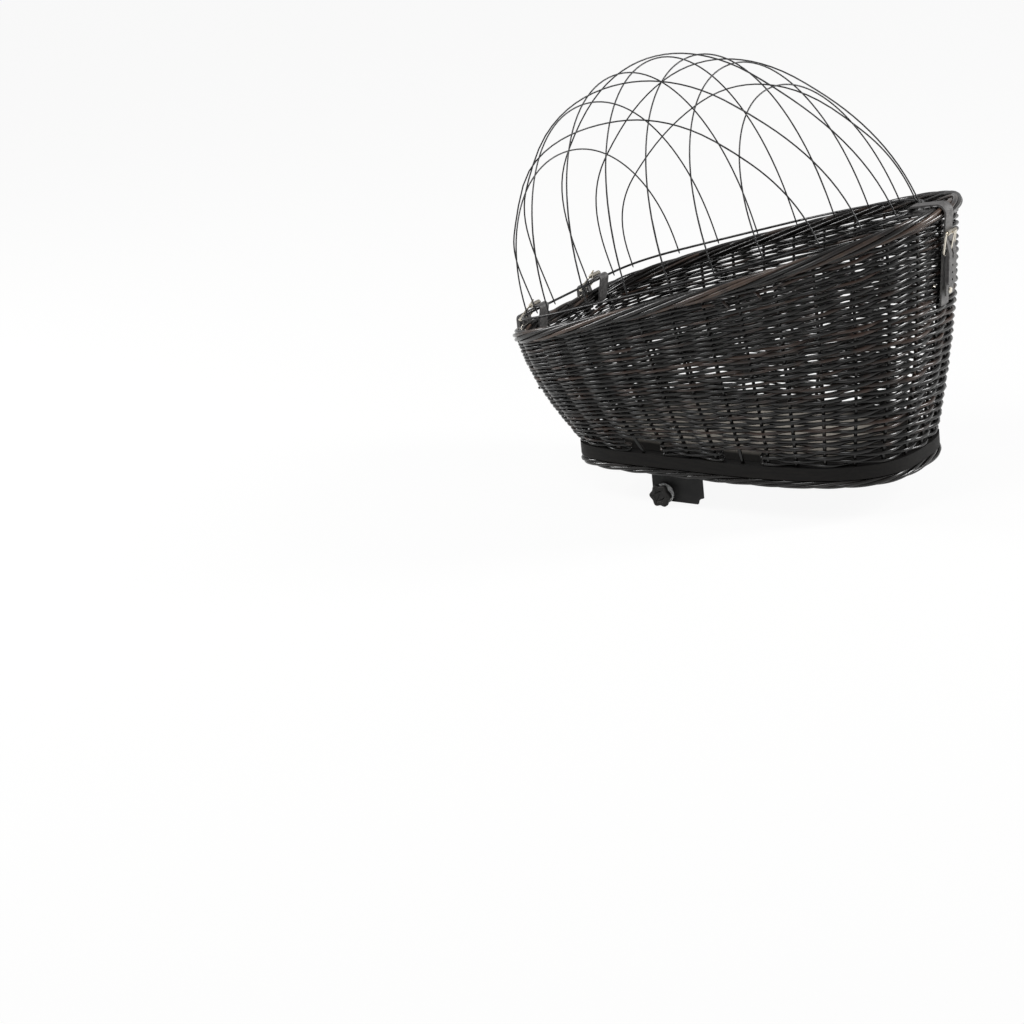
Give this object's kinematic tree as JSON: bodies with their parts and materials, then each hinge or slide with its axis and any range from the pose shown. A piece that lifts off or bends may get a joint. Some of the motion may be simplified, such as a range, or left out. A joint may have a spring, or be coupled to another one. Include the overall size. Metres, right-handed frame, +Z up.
{
  "type": "dog bicycle basket",
  "caption": "Woven black willow dog basket for a bicycle carrier, with a hinged wire dome, leather buckle straps and clamp brackets under a wooden base.",
  "frame": {"origin": "middle of the underside, in the plane of the foot border's lowest points, where the basket rests on the luggage carrier", "axes": "+X to the back of the basket, where the closure buckle is; +Y to its right side; +Z up"},
  "size_m": [0.5677, 0.3854, 0.5268],
  "materials": {
    "willow": "woven willow rods, stained black and varnished to a satin gloss",
    "wood": "plywood, stained matte black-brown",
    "wire": "steel wire, black satin coating",
    "leather": "black strap leather, satin",
    "nickel": "nickel-plated steel, polished",
    "steel": "sheet steel, black satin coating",
    "plastic": "moulded, matte black"
  },
  "bodies": {
    "basket": {"base_board": "wood", "foot_border": "willow", "wicker_wall": "willow", "rim_border": "willow", "hinge_left_strap": "leather", "hinge_right_strap": "leather", "hinge_left_buckle_frame": "nickel", "hinge_right_buckle_frame": "nickel", "closure_anchor_strap": "leather", "closure_buckle_frame": "nickel", "closure_rivet": "nickel", "bracket_left": "steel", "bracket_right": "steel", "bracket_screw_left_1": "steel", "bracket_screw_left_2": "steel", "bracket_screw_right_1": "steel", "bracket_screw_right_2": "steel", "clamp_washer_left": "nickel", "clamp_washer_right": "nickel"},
    "grille": {"dome_ring": "wire", "dome_arch_1": "wire", "dome_arch_2": "wire", "dome_arch_3": "wire", "dome_arch_4": "wire", "dome_arch_5": "wire", "dome_arch_6": "wire", "dome_arch_7": "wire", "dome_runner_1": "wire", "dome_runner_2": "wire", "dome_runner_3": "wire", "dome_runner_4": "wire", "dome_runner_5": "wire", "closure_strap": "leather"},
    "hinge_left_roller_tube": {"hinge_left_roller": "nickel"},
    "hinge_left_tongue": {"hinge_left_prong": "nickel"},
    "hinge_right_roller_tube": {"hinge_right_roller": "nickel"},
    "hinge_right_tongue": {"hinge_right_prong": "nickel"},
    "closure_roller_tube": {"closure_roller": "nickel"},
    "closure_tongue": {"closure_prong": "nickel"},
    "knob_left": {"star_knob_left": "plastic", "clamp_screw_left": "steel"},
    "jaw_left": {"clamp_jaw_left": "steel", "clamp_nut_left": "steel"},
    "knob_right": {"star_knob_right": "plastic", "clamp_screw_right": "steel"},
    "jaw_right": {"clamp_jaw_right": "steel", "clamp_nut_right": "steel"}
  },
  "joints": [
    {"name": "grille_hinge", "type": "hinge", "parent": "basket", "child": "grille", "pos_m": [-0.26502, 0, 0.18103], "axis": [0, -1, 0], "range_deg": [0, 105], "deforming": ["closure_strap"]},
    {"name": "hinge_left_roller_spin", "type": "hinge", "parent": "basket", "child": "hinge_left_roller_tube", "pos_m": [-0.2747, -0.068, 0.18426], "axis": [0, 1, 0], "continuous": true},
    {"name": "hinge_left_prong_swing", "type": "hinge", "parent": "basket", "child": "hinge_left_tongue", "pos_m": [-0.2921, -0.068, 0.16494], "axis": [0, -1, 0], "range_deg": [0, 75]},
    {"name": "hinge_right_roller_spin", "type": "hinge", "parent": "basket", "child": "hinge_right_roller_tube", "pos_m": [-0.2747, 0.068, 0.18426], "axis": [0, 1, 0], "continuous": true},
    {"name": "hinge_right_prong_swing", "type": "hinge", "parent": "basket", "child": "hinge_right_tongue", "pos_m": [-0.2921, 0.068, 0.16494], "axis": [0, -1, 0], "range_deg": [0, 75]},
    {"name": "closure_roller_spin", "type": "hinge", "parent": "basket", "child": "closure_roller_tube", "pos_m": [0.26343, 0, 0.28844], "axis": [0, 1, 0], "continuous": true},
    {"name": "closure_prong_swing", "type": "hinge", "parent": "basket", "child": "closure_tongue", "pos_m": [0.25802, 0, 0.26301], "axis": [0, 1, 0], "range_deg": [0, 75]},
    {"name": "knob_left_turn", "type": "hinge", "parent": "basket", "child": "knob_left", "pos_m": [-0.083, -0.108, -0.027], "axis": [0, 1, 0], "range_deg": [0, 1440]},
    {"name": "jaw_left_slide", "type": "slide", "parent": "basket", "child": "jaw_left", "axis": [0, -1, 0], "range_m": [0, 0.0045]},
    {"name": "knob_right_turn", "type": "hinge", "parent": "basket", "child": "knob_right", "pos_m": [-0.083, 0.108, -0.027], "axis": [0, -1, 0], "range_deg": [0, 1440]},
    {"name": "jaw_right_slide", "type": "slide", "parent": "basket", "child": "jaw_right", "axis": [0, 1, 0], "range_m": [0, 0.0045]}
  ],
  "couplings": [
    {"joint": "jaw_left_slide", "follows": "knob_left_turn", "m_per_rad": 0.00015915},
    {"joint": "jaw_right_slide", "follows": "knob_right_turn", "m_per_rad": 0.00015915}
  ]
}
